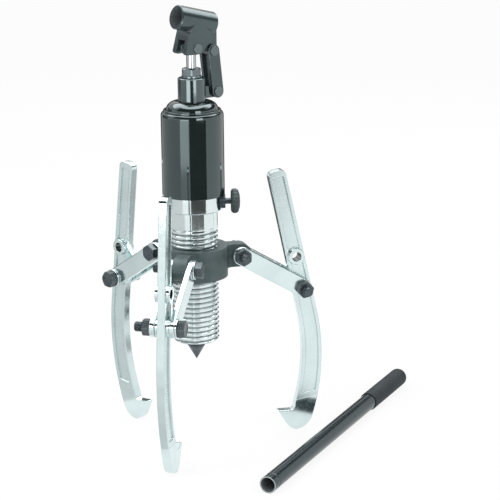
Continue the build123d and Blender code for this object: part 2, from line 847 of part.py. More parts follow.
# whole side outline: straight arm, bowed lower half, hooked foot
with BuildSketch() as jaw_outline:
    with BuildLine():
        outer_side = Line((arm_top_outer, arm_top_height), (bow_start_outer, -bow_start_drop))
        outer_bow = TangentArc(outer_side @ 1, (-heel_inner, -heel_drop), tangent=outer_side % 1)
        heel = TangentArc(outer_bow @ 1, (-sole_outer, -sole_drop), tangent=outer_bow % 1)
        sole = Line(heel @ 1, (-sole_inner, -sole_drop))
        toe_front = Line((-toe_tip_inner, -toe_tip_drop), (-toe_root_inner, -toe_root_drop))
        TangentArc(toe_front @ 1, sole @ 1, tangent=toe_front % 1)
        inner_side = Line((-arm_top_inner, arm_top_height), (-bow_start_inner, -bow_start_drop))
        inner_bow = TangentArc(inner_side @ 1, (-bow_end_inner, -bow_end_drop), tangent=inner_side % 1)
        FilletPolyline(inner_bow @ 1, (-throat_inner, -throat_drop), toe_front @ 0, radius=throat_round)
        Line(inner_side @ 0, outer_side @ 0)
    make_face()
    fillet(jaw_outline.vertices().group_by(Axis.Y)[-1], arm_top_round)


# foot: the outline below the arm's end
with BuildSketch() as foot_outline:
    add(jaw_outline.sketch)
    with Locations((0, -foot_top_drop)):
        Rectangle(2 * sole_drop, sole_drop, align=(Align.CENTER, Align.MAX), mode=Mode.INTERSECT)

# recessed panel between the arm's rims
with BuildSketch() as panel_outline:
    add(jaw_outline.sketch)
    offset(amount=-rim_width)
    with Locations((0, -panel_bottom_drop)):
        Rectangle(
            2 * sole_drop,
            panel_top_height + panel_bottom_drop,
            align=(Align.CENTER, Align.MIN),
            mode=Mode.INTERSECT,
        )
    panel_ends = panel_outline.vertices().group_by(Axis.Y)
    fillet(panel_ends[0] + panel_ends[-1], panel_round)


def bevelled(outline, half_thickness, bevel):
    """Extrude an outline up from the mid plane, its outer edge cut back by the bevel."""
    with BuildPart() as slab:
        add(outline.sketch)
        extrude(amount=half_thickness - bevel)
        with BuildSketch(Plane.XY.offset(half_thickness - bevel)):
            add(outline.sketch)
        extrude(amount=bevel, taper=45)
    return slab.part


with BuildPart() as jaw:
    add(bevelled(foot_outline, foot_thickness / 2, foot_chamfer))
    add(bevelled(jaw_outline, jaw_thickness / 2, forging_chamfer))
    with BuildSketch(Plane.XY.offset(jaw_thickness / 2)):
        add(panel_outline.sketch)
    extrude(amount=-web_recess, mode=Mode.SUBTRACT)
    with BuildSketch():
        with Locations((0, 0), (0, spare_hole_height)):
            Circle(jaw_boss_diameter / 2)
    extrude(amount=jaw_boss_half)
    mirror(about=Plane.XY)
    with BuildSketch():
        with Locations((0, 0), (0, spare_hole_height)):
            Circle(hinge_bore)
    extrude(amount=jaw_boss_half, both=True, mode=Mode.SUBTRACT)

# ---------------------------------------------------------------- legs in place


def leg_planes(heading, lean_degrees):
    """Planes of one leg: links (X towards the jaw), jaw, and the ends of both bolts."""
    lean = math.radians(lean_degrees)
    foot_depth = sole_inner * math.sin(lean) + sole_drop * math.cos(lean)
    droop = math.asin((inner_pivot_height - foot_depth) / link_length)
    link_place = upright_plane(heading, inner_pivot_radius, inner_pivot_height)
    outer_radius = inner_pivot_radius + link_length * math.cos(droop)
    jaw_place = upright_plane(heading, outer_radius, foot_depth)
    return (
        turned(link_place, -math.degrees(droop)),
        turned(jaw_place, lean_degrees),
    )


inner_places = []
for leg, heading in leg_headings.items():
    link_place, jaw_place = leg_planes(heading, jaw_leans[leg])
    far_face = Location((0, 0, 0), (180, 0, 0))
    inner_places.append(link_place.location * far_face)
    outer_place = jaw_place.location * far_face
    save_placed(link_plate, [link_place.location], f"{leg}_link_nut_side")
    save_placed(link_plate, [link_place.location * far_face], f"{leg}_link_head_side")
    save_placed(jaw, [jaw_place.location], f"{leg}_jaw")
    save_placed(leg_bolt, [outer_place], f"{leg}_outer_bolt")
    save_placed(leg_nut, [outer_place], f"{leg}_outer_nut")
    save_placed(leg_washer, [outer_place], f"{leg}_outer_washer")
save_placed(leg_bolt, inner_places, "inner_bolts")
save_placed(leg_nut, inner_places, "inner_nuts")
save_placed(leg_washer, inner_places, "inner_washers")

# ---------------------------------------------------------------- pump handle

grip_radius = handle_diameter / 2 + grip_wall
grip_seat_radius = handle_diameter / 2 - grip_seat_depth
handle_turn = math.radians(handle_heading)
handle_slope = grip_wall / handle_length
handle_axis = Vector(math.cos(handle_turn), math.sin(handle_turn), handle_slope)
handle_end = Vector(handle_end_x, handle_end_y, handle_diameter / 2)
handle_plane = Plane(origin=handle_end, z_dir=handle_axis)
grip_start = handle_length + grip_end_wall - grip_length

with BuildPart() as handle_tube:
    with BuildSketch(handle_plane):
        Circle(handle_diameter / 2)
    extrude(amount=handle_length)
    with BuildSketch(handle_plane.offset(groove_distance)):
        Circle(handle_diameter)
        Circle(handle_diameter / 2 - groove_depth, mode=Mode.SUBTRACT)
    extrude(amount=groove_width, mode=Mode.SUBTRACT)
    with BuildSketch(handle_plane.offset(grip_start - grip_seat_lead)):
        Circle(handle_diameter)
        Circle(grip_seat_radius, mode=Mode.SUBTRACT)
    extrude(amount=grip_length, mode=Mode.SUBTRACT)
    with BuildSketch(handle_plane):
        Circle(handle_diameter / 2 - handle_wall)
    extrude(amount=handle_length, mode=Mode.SUBTRACT)
save(handle_tube, "handle_tube")

with BuildPart() as handle_grip:
    with BuildSketch(handle_plane.offset(grip_start)):
        Circle(grip_radius)
    extrude(amount=grip_length)
    fillet(handle_grip.faces().sort_by(Axis(handle_end, handle_axis))[-1].edges(), grip_end_round)
    with BuildSketch(handle_plane.offset(grip_start)):
        Circle(grip_seat_radius)
    extrude(amount=handle_length - grip_start, mode=Mode.SUBTRACT)
save(handle_grip, "handle_grip")
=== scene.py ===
"""Looks of the hydraulic gear puller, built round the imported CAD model, in metres."""

import json
import math

import bmesh
import bpy
from mathutils import Matrix, Vector


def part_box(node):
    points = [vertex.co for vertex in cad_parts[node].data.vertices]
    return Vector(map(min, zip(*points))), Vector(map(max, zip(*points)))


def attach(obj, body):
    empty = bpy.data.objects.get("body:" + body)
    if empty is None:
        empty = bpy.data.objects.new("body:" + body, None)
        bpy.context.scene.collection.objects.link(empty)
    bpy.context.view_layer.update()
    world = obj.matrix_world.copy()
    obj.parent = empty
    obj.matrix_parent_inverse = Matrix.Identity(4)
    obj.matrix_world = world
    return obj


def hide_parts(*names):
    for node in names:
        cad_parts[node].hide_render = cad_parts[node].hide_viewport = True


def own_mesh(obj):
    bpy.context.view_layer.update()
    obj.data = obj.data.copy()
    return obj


MM = 0.001
FULL_TURN = 2 * math.pi
QUARTER_TURN = math.pi / 2
UP = Vector((0, 0, 1))
LEGS = ("front", "right", "left")

# Screw cylinder
THREAD_RADIUS = 34 * MM
THREAD_DEPTH = 2.0 * MM
THREAD_PITCH = 25.4 / 3.5 * MM
THREAD_END_CUT = 2.5 * MM
THREAD_FADE = 6 * MM
RAM_BORE_RADIUS = 25 * MM
RAM_BORE_SHOWN = 10 * MM
COLLAR_HEIGHT = 22.5 * MM
COLLAR_FOOT_CUT = 1.2 * MM
COLLAR_HEAD_CUT = 0.8 * MM
COLLAR_SEAT_WIDTH = 7 * MM  # how far the collar's top reaches in under the tank
PLAIN_BAND = 24 * MM
SEAM_GROOVE = 0.6 * MM

# Reservoir and its cap
TANK_WALL = 5 * MM
TANK_FOOT_CUT_WIDTH = 0.4 * MM
TANK_FOOT_CUT_HEIGHT = 0.6 * MM
SHOULDER_WIDTH = 3.7 * MM
SHOULDER_HEIGHT = 6 * MM
CAP_RIM_HEIGHT = 3 * MM
CAP_STEP = 4 * MM
CAP_FLAT_RADIUS = 23 * MM
CAP_HOLE_RADIUS = 14 * MM
FILLER_BOSS_RADIUS = 6.5 * MM
FILLER_HOLE_RADIUS = 3 * MM
FILLER_FLATS = 10 * MM
FILLER_HEAD_HEIGHT = 3 * MM

# Gland nut
GLAND_FLATS = 26 * MM
GLAND_HOLE_RADIUS = 7.3 * MM
GLAND_BORE_RADIUS = 7 * MM
GLAND_FLANGE_HEIGHT = 3.5 * MM
GLAND_FLANGE_RADIUS = 14.5 * MM

# Release valve, as distances from the tool's axis and radii round the valve's own
VALVE_BODY_START = 39 * MM
VALVE_BODY_END = 45.6 * MM
VALVE_BODY_RADIUS = 10.5 * MM
VALVE_STEM_RADIUS = 4.4 * MM
VALVE_STEM_START = 40 * MM
VALVE_STEM_END = 60 * MM
KNOB_START = 53.4 * MM
KNOB_END = 67 * MM
KNOB_RADIUS = 18 * MM

# Leg fasteners
BOLT_RADIUS = 7 * MM
BOLT_PITCH = 2 * MM
BOLT_THREAD_DEPTH = 1.0 * MM
BOLT_END_CUT = 1.2 * MM
BOLT_FLATS = 22 * MM
HEAD_HEIGHT = 10.5 * MM
NUT_HEIGHT = 11 * MM
BOLT_OVERHANG = 12 * MM
WASHER_RADIUS = 14 * MM
WASHER_HEIGHT = 2.5 * MM
SEAT = 18.7 * MM  # from the middle of a leg to the face that carries the nut or washer

# Jaw
ARM_HALF = 7 * MM
FOOT_HALF = 9 * MM
PANEL_LOW = 3 * MM  # a sunk panel's faces lie between these distances from the jaw's middle plane
PANEL_HIGH = 6 * MM
HOLE_REACH = 8 * MM  # faces nearer than this to a hole's axis belong to its wall
SOLE_DROP = 219.5 * MM
TAPER_START = 26 * MM
TAPER_END = 44.5 * MM

# Pump handle
HANDLE_RADIUS = 12.5 * MM
HANDLE_WALL = 2 * MM
HANDLE_LENGTH = 480 * MM
GRIP_START = 362 * MM
GRIP_LENGTH = 134 * MM
GRIP_RADIUS = 14.1 * MM
GRIP_DOME = 9 * MM
GRIP_SINK = 0.4 * MM  # how far the tube is drawn in under the grip
GROOVE_START = 13 * MM
GROOVE_END = 15 * MM
GROOVE_DEPTH = 0.5 * MM
GROOVE_SLOPE = 0.6 * MM

# Meshes
WELD = 1e-6
CREASE = 34.0  # edges sharper than this many degrees stay sharp
SOFT_CREASE = 50.0  # the same, for pieces with rounded shoulders
CAD_WELD = 0.002 * MM
CAD_FLATNESS = 0.6  # degrees between CAD facets that count as one flat
CAD_CORNER = 30.0  # CAD edges sharper than this many degrees are rounded

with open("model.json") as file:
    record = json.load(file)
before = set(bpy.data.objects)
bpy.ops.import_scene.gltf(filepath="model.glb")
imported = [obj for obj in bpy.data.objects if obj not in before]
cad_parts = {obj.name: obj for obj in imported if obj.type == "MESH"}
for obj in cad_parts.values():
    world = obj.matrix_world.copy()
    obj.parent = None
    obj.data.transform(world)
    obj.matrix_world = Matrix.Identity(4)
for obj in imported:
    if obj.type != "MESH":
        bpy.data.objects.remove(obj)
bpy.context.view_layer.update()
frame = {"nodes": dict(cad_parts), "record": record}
nodes = frame["nodes"]
record = frame["record"]
body_of_node = {node: body for body, group in record["behaviour"]["bodies"].items() for node in group}
slot_of_node = {entry["node"]: entry["material_slot"] for entry in record["subparts"]}
joints = {joint["name"]: joint for joint in record["behaviour"]["joints"]}
mounts = {mount["name"]: mount for mount in record["mounts"]}


# ---------------------------------------------------------------- materials

SHEEN = (0.80, 0.98, 1.0, 1)  # cool tint of what black paint mirrors
# colour of lightened paint edges: partly rubbed steel, partly a painted highlight
EDGE_WEAR_AND_HIGHLIGHT = (0.30, 0.33, 0.34)
BARE_STEEL = (0.42, 0.45, 0.46)
WORN_OXIDE = (0.16, 0.18, 0.19)
WHITE = (1, 1, 1, 1)
RAY_SAMPLES = 8


class Nodes:
    """Adds shader nodes to the tree of one material or world and links them."""

    def __init__(self, owner, output="ShaderNodeOutputMaterial"):
        self.owner = owner
        self.owner.use_nodes = True
        self.tree = owner.node_tree
        self.tree.nodes.clear()
        self.output = self.tree.nodes.new(output)

    def add(self, kind, **inputs):
        """Adds a node; each keyword feeds the input that it spells, with _ for a space."""
        node = self.tree.nodes.new(kind)
        for key, value in inputs.items():
            self.feed(node.inputs[key.replace("_", " ")], value)
        return node

    def feed(self, socket, value):
        """Links an output to a socket, or sets the socket's value."""
        if isinstance(value, bpy.types.NodeSocket):
            self.tree.links.new(value, socket)
        else:
            socket.default_value = value

    def combine(self, operation, first, second):
        """A number worked out from two numbers or outputs."""
        node = self.add("ShaderNodeMath")
        node.operation = operation
        self.feed(node.inputs[0], first)
        self.feed(node.inputs[1], second)
        return node.outputs["Value"]

    def noise(self, scale, detail=3.0, roughness=0.55, stretch=(1, 1, 1)):
        """Noise over the object, its grain 1/scale metres wide."""
        coords = self.add("ShaderNodeTexCoord").outputs["Object"]
        place = self.add("ShaderNodeMapping", Vector=coords, Scale=stretch).outputs["Vector"]
        node = self.add("ShaderNodeTexNoise", Vector=place, Scale=scale, Detail=detail, Roughness=roughness)
        return node.outputs["Fac"]

    def ramp(self, value, low, high, start=0.0, end=1.0):
        """Maps a value between start and end to a number between low and high."""
        node = self.add(
            "ShaderNodeMapRange", Value=value, From_Min=start, From_Max=end, To_Min=low, To_Max=high
        )
        return node.outputs["Result"]

    def tint(self, value, dark, light, start=0.3, end=0.7):
        """Colour between two colours, by a value."""
        node = self.add("ShaderNodeValToRGB", Fac=value)
        low, high = node.color_ramp.elements
        low.position = start
        low.color = (*dark, 1)
        high.position = end
        high.color = (*light, 1)
        return node.outputs["Color"]

    def mix(self, factor, first, second):
        """Colour between two colours or outputs, by a factor."""
        node = self.add("ShaderNodeMixRGB", Fac=factor)
        for socket, value in ((node.inputs["Color1"], first), (node.inputs["Color2"], second)):
            self.feed(socket, (*value, 1) if isinstance(value, tuple) else value)
        return node.outputs["Color"]

    def bump(self, height, distance, normal=None):
        """Bump of a height from 0 to 1, where 1 is the distance in metres, over another bump if given."""
        node = self.add("ShaderNodeBump", Height=height, Distance=distance)
        if normal is not None:
            self.feed(node.inputs["Normal"], normal)
        return node.outputs["Normal"]

    def edges(self, start, end):
        """1 on sharp convex edges, 0 on flats."""
        geometry = self.add("ShaderNodeNewGeometry")
        return self.ramp(geometry.outputs["Pointiness"], 0.0, 1.0, start, end)

    def axis_distance(self, start, end):
        """1 inside the first distance from the object's Z axis, 0 outside the second."""
        coords = self.add("ShaderNodeTexCoord")
        flat = self.add("ShaderNodeVectorMath", Vector=coords.outputs["Object"])
        flat.operation = "MULTIPLY"
        flat.inputs[1].default_value = (1, 1, 0)
        length = self.add("ShaderNodeVectorMath", Vector=flat.outputs["Vector"])
        length.operation = "LENGTH"
        return self.ramp(length.outputs["Value"], 1.0, 0.0, start, end)

    def mark(self, name):
        """The value that the faces carry under a name, 0 where they carry none."""
        node = self.add("ShaderNodeAttribute")
        node.attribute_name = name
        return node.outputs["Fac"]

    def seen_rays(self):
        """1 on camera, mirror and glass rays, 0 on rays that only carry light."""
        path = self.add("ShaderNodeLightPath")
        seen = path.outputs["Is Camera Ray"]
        for name in ("Is Glossy Ray", "Is Transmission Ray"):
            seen = self.combine("MAXIMUM", seen, path.outputs[name])
        return seen

    def mix_shader(self, factor, first, second):
        """Shader between two shaders, by a factor."""
        node = self.add("ShaderNodeMixShader", Fac=factor)
        self.feed(node.inputs[1], first)
        self.feed(node.inputs[2], second)
        return node.outputs["Shader"]

    def surface(self, shader):
        """Ends the tree with a shader and gives back its material or world."""
        self.feed(self.output.inputs["Surface"], shader)
        return self.owner

    def shader(self, **inputs):
        """Ends the material with a Principled shader."""
        return self.surface(self.add("ShaderNodeBsdfPrincipled", **inputs).outputs["BSDF"])


def new_material(name):
    """A new material with an empty tree."""
    return Nodes(bpy.data.materials.new(name))


def scaled(colour, factor):
    """The colour made lighter or darker."""
    return tuple(channel * factor for channel in colour)


def turned_chrome(name, colour):
    """Chrome over a turned cylinder, with faint tool lines round it."""
    n = new_material(name)
    lines = n.noise(700.0, detail=2.0, stretch=(0.02, 0.02, 1))
    base = n.tint(n.noise(24.0), scaled(colour, 0.93), colour)
    rough = n.ramp(n.noise(180.0, detail=4.0), 0.04, 0.10, start=0.35, end=0.65)
    return n.shader(Base_Color=base, Metallic=1.0, Roughness=rough, Normal=n.bump(lines, 0.010 * MM))


def thread_chrome(name, colour, root_shade):
    """Chrome thread with painted shade, in patches, in its roots, where it is also rougher."""
    n = new_material(name)
    # Painted shade: the colour goes darker, in patches, towards the thread's roots.
    groove = n.axis_distance(THREAD_RADIUS - THREAD_DEPTH * 0.95, THREAD_RADIUS - THREAD_DEPTH * 0.45)
    patches = n.ramp(n.noise(90.0, detail=4.0), 0.55, 1.0, start=0.3, end=0.6)
    root_shade_mask = n.combine("MULTIPLY", groove, patches)
    chrome_tone = n.tint(n.noise(30.0), scaled(colour, 0.92), colour)
    polish = n.ramp(n.noise(200.0, detail=4.0), 0.06, 0.14, start=0.35, end=0.65)
    rough = n.combine("ADD", polish, n.ramp(root_shade_mask, 0.0, 0.25))
    normal = n.bump(n.noise(160.0, detail=2.0), 0.02 * MM)
    return n.shader(Base_Color=n.mix(root_shade_mask, chrome_tone, root_shade), Metallic=1.0, Roughness=rough, Normal=normal)


def forged_chrome(name, colour, rounding):
    """Bright chrome over a ground forging: soft edges, a slow ripple, faint clouds, painted shade in its
    corners.
    """
    n = new_material(name)
    clouds = n.noise(30.0, detail=4.0, roughness=0.6)
    base = n.tint(clouds, scaled(colour, 0.93), colour, start=0.35, end=0.6)
    # Painted shade: the colour darkens where ambient occlusion finds nearby surfaces, in corners and
    # creases.
    corner = n.add("ShaderNodeAmbientOcclusion", Distance=3 * MM)
    corner.samples = RAY_SAMPLES
    shade = n.ramp(corner.outputs["AO"], 0.55, 0.0, start=0.3, end=0.82)
    base = n.mix(shade, base, scaled(colour, 0.22))
    # Faces marked as hole walls are darker, down to a quarter of the colour.
    base = n.mix(n.mark("bore"), base, scaled(colour, 0.25))
    polish = n.ramp(n.noise(120.0, detail=5.0, roughness=0.65), 0.10, 0.17, start=0.35, end=0.65)
    rough = n.combine("ADD", polish, n.ramp(n.mark("recess"), 0.0, 0.15))
    soft = n.add("ShaderNodeBevel", Radius=rounding)
    soft.samples = RAY_SAMPLES
    normal = n.bump(n.noise(26.0, detail=1.0, roughness=0.4), 0.09 * MM, soft.outputs["Normal"])
    normal = n.bump(n.noise(900.0, roughness=0.6), 0.007 * MM, normal)
    return n.shader(Base_Color=base, Metallic=1.0, Roughness=rough, Normal=normal)


def gloss_paint(name, colour, ior, rough, peel, rubbed=0.0):
    """Sprayed gloss paint with orange peel and a few dull specks; marked faces show the steel, and marked
    edges are lighter, partly wear and partly painted highlight.
    """
    n = new_material(name)
    base = n.tint(n.noise(14.0), scaled(colour, 0.8), scaled(colour, 1.3))
    if rubbed:
        # Edges lighter: partly rubbed steel, partly a painted highlight.
        base = n.mix(n.ramp(n.mark("edge"), 0.0, rubbed), base, EDGE_WEAR_AND_HIGHLIGHT)
    base = n.mix(n.mark("bare"), base, BARE_STEEL)
    roughness = n.ramp(n.noise(240.0, detail=2.0), rough, rough * 1.8, start=0.52, end=0.78)
    normal = n.bump(n.noise(420.0, detail=2.0, roughness=0.5), peel)
    return n.shader(Base_Color=base, Roughness=roughness, Normal=normal, IOR=ior, Specular_Tint=SHEEN)


def cast_paint(name, colour, worn, grain_height, rough):
    """Satin paint over a sand-cast or moulded skin, rubbed lighter on its edges."""
    n = new_material(name)
    grain = n.noise(650.0, detail=4.0, roughness=0.6)
    swell = n.noise(60.0)
    base = n.tint(swell, scaled(colour, 0.8), scaled(colour, 1.25))
    base = n.mix(n.edges(0.53, 0.64), base, worn)
    roughness = n.ramp(grain, rough * 0.85, rough * 1.2, start=0.3, end=0.7)
    normal = n.bump(swell, 0.3 * MM)
    normal = n.bump(grain, grain_height, normal)
    return n.shader(Base_Color=base, Roughness=roughness, Normal=normal, IOR=1.6, Specular_Tint=SHEEN)


def black_oxide(name, colour, rough):
    """Oiled black oxide on steel, thinner on the corners."""
    n = new_material(name)
    base = n.noise(90.0, detail=4.0, roughness=0.6)
    base = n.tint(base, colour, scaled(colour, 2.0), start=0.35, end=0.75)
    base = n.mix(n.edges(0.54, 0.66), base, WORN_OXIDE)
    roughness = n.ramp(n.noise(420.0, detail=4.0), rough * 0.8, rough * 1.4, start=0.3, end=0.7)
    normal = n.bump(n.noise(520.0), 0.05 * MM)
    return n.shader(Base_Color=base, Metallic=0.6, Roughness=roughness, Normal=normal)


def bright_steel(name, colour, rough):
    """Ground steel or turned brass with fine lines."""
    n = new_material(name)
    lines = n.noise(260.0, roughness=0.6, stretch=(1, 1, 8))
    base = n.tint(lines, scaled(colour, 0.8), colour)
    roughness = n.ramp(lines, rough * 0.8, rough * 1.4)
    return n.shader(Base_Color=base, Metallic=1.0, Roughness=roughness, Normal=n.bump(lines, 0.01 * MM))


def rubber(name, colour, rough, grain):
    """Moulded rubber: dull, finely grained, a little dusty."""
    n = new_material(name)
    fine = n.noise(1100.0, roughness=0.6)
    base = n.tint(n.noise(40.0, detail=4.0), colour, scaled(colour, 1.6))
    roughness = n.ramp(fine, rough * 0.9, rough * 1.15, start=0.3, end=0.7)
    normal = n.bump(fine, grain)
    return n.shader(Base_Color=base, Roughness=roughness, Normal=normal, Specular_IOR_Level=0.3)


MATERIALS = {
    "chrome": turned_chrome("chrome_turned", (0.78, 0.87, 0.88)),
    "thread_chrome": thread_chrome("chrome_thread", (0.78, 0.87, 0.87), root_shade=(0.22, 0.25, 0.26)),
    "forged_chrome": forged_chrome("chrome_forged", (0.72, 0.84, 0.845), rounding=1.8 * MM),
    "gloss_black_paint": gloss_paint(
        "paint_gloss_black", (0.008, 0.012, 0.012), ior=1.9, rough=0.06, peel=0.01 * MM
    ),
    "cast_black": cast_paint(
        "paint_on_casting",
        (0.055, 0.075, 0.076),
        worn=(0.12, 0.14, 0.14),
        grain_height=0.18 * MM,
        rough=0.5,
    ),
    "black_oxide": black_oxide("oxide_black", (0.046, 0.060, 0.068), rough=0.27),
    # its rubbed edges are lighter, partly wear and partly painted highlight
    "dark_steel": gloss_paint(
        "paint_pump_head", (0.024, 0.034, 0.037), ior=1.8, rough=0.16, peel=0.02 * MM, rubbed=0.5
    ),
    "pin_paint": gloss_paint("paint_pins", (0.07, 0.085, 0.088), ior=1.9, rough=0.2, peel=0.02 * MM),
    "pump_paint": gloss_paint(
        "paint_pump_body", (0.012, 0.018, 0.020), ior=2.1, rough=0.08, peel=0.01 * MM
    ),
    "gland_steel": bright_steel("steel_grey", (0.19, 0.23, 0.25), rough=0.22),
    "plunger_chrome": turned_chrome("chrome_plunger", (0.50, 0.54, 0.55)),
    "pin_steel": bright_steel("steel_ground", (0.62, 0.63, 0.65), rough=0.22),
    "brass": bright_steel("brass_turned", (0.72, 0.52, 0.24), rough=0.25),
    "knob_black": cast_paint(
        "knob_grained", (0.033, 0.042, 0.043), worn=(0.09, 0.1, 0.1), grain_height=0.2 * MM, rough=0.6
    ),
    "handle_paint": gloss_paint(
        "paint_handle", (0.016, 0.024, 0.028), ior=1.55, rough=0.14, peel=0.015 * MM
    ),
    "grip_rubber": rubber("rubber_grip", (0.014, 0.021, 0.024), rough=0.65, grain=0.05 * MM),
    "seal_rubber": rubber("rubber_seal", (0.03, 0.03, 0.03), rough=0.6, grain=0.02 * MM),
}


# ---------------------------------------------------------------- mesh helpers


def new_object(name, data):
    """An object of that data, in the scene."""
    obj = bpy.data.objects.new(name, data)
    bpy.context.scene.collection.objects.link(obj)
    return obj


def mesh_data(mesh, name):
    """Mesh data with what was built, which is then let go."""
    data = bpy.data.meshes.new(name)
    mesh.to_mesh(data)
    mesh.free()
    return data


def placed(origin, along, side=None):
    """Matrix of a place whose Z points along a direction and whose X leans to the side given."""
    z_axis = Vector(along).normalized()
    x_axis = Vector(side) if side is not None else z_axis.orthogonal()
    y_axis = z_axis.cross(x_axis).normalized()
    x_axis = y_axis.cross(z_axis)
    turn = Matrix((x_axis, y_axis, z_axis)).transposed().to_4x4()
    return Matrix.Translation(origin) @ turn


def middle(node):
    """Centre of a CAD node's box."""
    low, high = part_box(node)
    return (low + high) / 2


def rounded(points, radius, steps=4):
    """Profile with its inner corners rounded off, each over less than half of either side."""
    longest_share = 0.45
    smooth = [Vector(points[0])]
    for before, corner, after in zip(points, points[1:], points[2:]):
        corner = Vector(corner)
        ends = []
        for other in (Vector(before), Vector(after)):
            arm = other - corner
            ends.append(corner + arm * min(radius / arm.length, longest_share))
        for step in range(steps + 1):
            t = step / steps
            smooth.append(ends[0] * (1 - t) ** 2 + corner * 2 * t * (1 - t) + ends[1] * t**2)
    smooth.append(Vector(points[-1]))
    return smooth


def shoulder_arc(centre, width, height, fullness=1.0, steps=12):
    """Quarter ellipse of a profile, from just past its widest point up to its top."""
    points = []
    for step in range(1, steps + 1):
        angle = QUARTER_TURN * step / steps
        reach = centre[0] + width * math.cos(angle) ** fullness
        points.append((reach, centre[1] + height * math.sin(angle)))
    return points


def add_rings(mesh, place, rings):
    """Skins a row of rings; a ring of one point is a pole."""
    rows = [[mesh.verts.new(place @ point) for point in ring] for ring in rings]
    for low, high in zip(rows, rows[1:]):
        count = max(len(low), len(high))
        for i in range(count):
            j = (i + 1) % count
            if len(low) == 1:
                mesh.faces.new((low[0], high[j], high[i]))
            elif len(high) == 1:
                mesh.faces.new((low[i], low[j], high[0]))
            else:
                mesh.faces.new((low[i], low[j], high[j], high[i]))


def add_lathe(mesh, place, profile, segments=96, flutes=0, flute_depth=0.0):
    """Turns a profile of (radius, height) points round Z; flutes are shallow scallops in its rim."""
    pole = 1e-7
    flute_fade = 4 * MM  # flutes grow shallower inside this radius
    rings = []
    for radius, height in profile:
        if radius < pole:
            rings.append([Vector((0, 0, height))])
            continue
        ring = []
        for i in range(segments):
            angle = FULL_TURN * i / segments
            cut = flute_depth * (0.5 - 0.5 * math.cos(flutes * angle)) if flutes else 0.0
            reach = radius - cut * min(1.0, radius / flute_fade)
            ring.append(Vector((reach * math.cos(angle), reach * math.sin(angle), height)))
        rings.append(ring)
    add_rings(mesh, place, rings)


def add_hexagon(mesh, place, flats, bottom, top, hole=0.0, cut_bottom=False):
    """Hexagon with chamfered corners: a bolt head (no hole) or a nut.

    Its bottom is chamfered like its top, or else stands on a low round washer face.
    """
    sides = 6
    steps = 10
    apothem = flats / 2
    corner_limit = apothem / math.cos(math.pi / sides) * 0.985
    crown = apothem * 0.95
    slope = math.tan(math.radians(27))
    washer_face = 0.5 * MM
    hole_cut = 0.6 * MM
    dish_rim = crown * 0.8
    dish_floor = crown * 0.72
    dish_depth = 0.35 * MM

    def ring(limit, height, fall=0):
        """One ring; fall is the sign of the chamfer's slope, or 0."""
        points = []
        for i in range(sides * steps):
            angle = FULL_TURN * i / (sides * steps)
            reach = apothem / math.cos(angle % (FULL_TURN / sides) - math.pi / sides)
            reach = min(reach, corner_limit, limit)
            z = height + fall * max(0.0, reach - crown) * slope
            points.append(Vector((reach * math.cos(angle), reach * math.sin(angle), z)))
        return points

    rings = [ring(hole, bottom) if hole else [Vector((0, 0, bottom))]]
    rings.append(ring(crown, bottom))
    if cut_bottom:
        rings.append(ring(flats, bottom, fall=1))
    else:
        rings.append(ring(crown, bottom + washer_face))
        rings.append(ring(flats, bottom + washer_face))
    rings.append(ring(flats, top, fall=-1))
    rings.append(ring(crown, top))
    if hole:
        rings.append(ring(hole + hole_cut, top))
        rings.append(ring(hole, top - hole_cut))
    else:
        rings.append(ring(dish_rim, top))
        rings.append(ring(dish_floor, top - dish_depth))
        rings.append([Vector((0, 0, top - dish_depth))])
    add_rings(mesh, place, rings)


def thread_sink(phase):
    """How deep the thread's section lies at a share of its pitch: 0 on the crest, 1 in the root."""
    crest, root = 0.50, 0.16
    flank = (1 - crest - root) / 2
    crest_fall = 0.10
    root_rise = 0.08
    flank_fall = 1 - crest_fall - root_rise
    if phase < crest:
        return crest_fall * (2 * phase / crest - 1) ** 2
    if phase < crest + flank:
        return crest_fall + flank_fall * (phase - crest) / flank
    if phase < crest + flank + root:
        return 1.0 - root_rise * (2 * (phase - crest - flank) / root - 1) ** 2
    return crest_fall + flank_fall * (1 - phase) / flank


def add_thread(mesh, place, radius, depth, pitch, bottom, top, end_cut, fade, columns, rows):
    """Right-hand thread between two heights, chamfered below and fading out above.

    Columns go once round it, and rows once up its pitch.
    """
    start = bottom - 2 * pitch
    total = math.ceil((top - bottom) / pitch * rows) + 4 * rows
    grid = []
    for column in range(columns):
        turn = column / columns
        angle = FULL_TURN * turn
        line = []
        for row in range(total):
            height = start + (row / rows + turn) * pitch
            sink = thread_sink((row % rows) / rows)
            ease = min(1.0, max(0.0, (top - height) / fade)) if fade else 1.0
            reach = radius - depth * sink * ease * ease * (3 - 2 * ease)
            reach = min(reach, radius - end_cut + max(0.0, height - bottom))
            height = min(max(height, bottom), top)
            point = Vector((reach * math.cos(angle), reach * math.sin(angle), height))
            line.append(mesh.verts.new(place @ point))
        grid.append(line)
    for column in range(columns):
        shift = rows if column == columns - 1 else 0
        following = grid[(column + 1) % columns]
        for row in range(total - 1 - shift):
            corners = (
                grid[column][row],
                following[row + shift],
                following[row + 1 + shift],
                grid[column][row + 1],
            )
            mesh.faces.new(corners)


def finish_piece(mesh, node, material, crease=CREASE):
    """Makes the mesh an object that stands for a CAD node, with its material and body, and hides the node.
    """
    bmesh.ops.remove_doubles(mesh, verts=mesh.verts, dist=WELD)
    bmesh.ops.dissolve_degenerate(mesh, edges=mesh.edges, dist=WELD)
    bmesh.ops.recalc_face_normals(mesh, faces=mesh.faces)
    data = mesh_data(mesh, f"{node}_look")
    obj = new_object(f"{node}_look", data)
    for face in data.polygons:
        face.use_smooth = True
    data.set_sharp_from_angle(angle=math.radians(crease))
    data.materials.append(MATERIALS[material])
    flats = obj.modifiers.new("flats", "WEIGHTED_NORMAL")
    flats.keep_sharp = True
    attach(obj, body_of_node[node])
    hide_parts(node)
    return obj


def mark_faces(obj, name, value_at):
    """Gives each face a value under a name, from the face's centre and normal."""
    layer = obj.data.attributes.new(name, "FLOAT", "FACE")
    for face in obj.data.polygons:
        layer.data[face.index].value = value_at(face.center, face.normal)


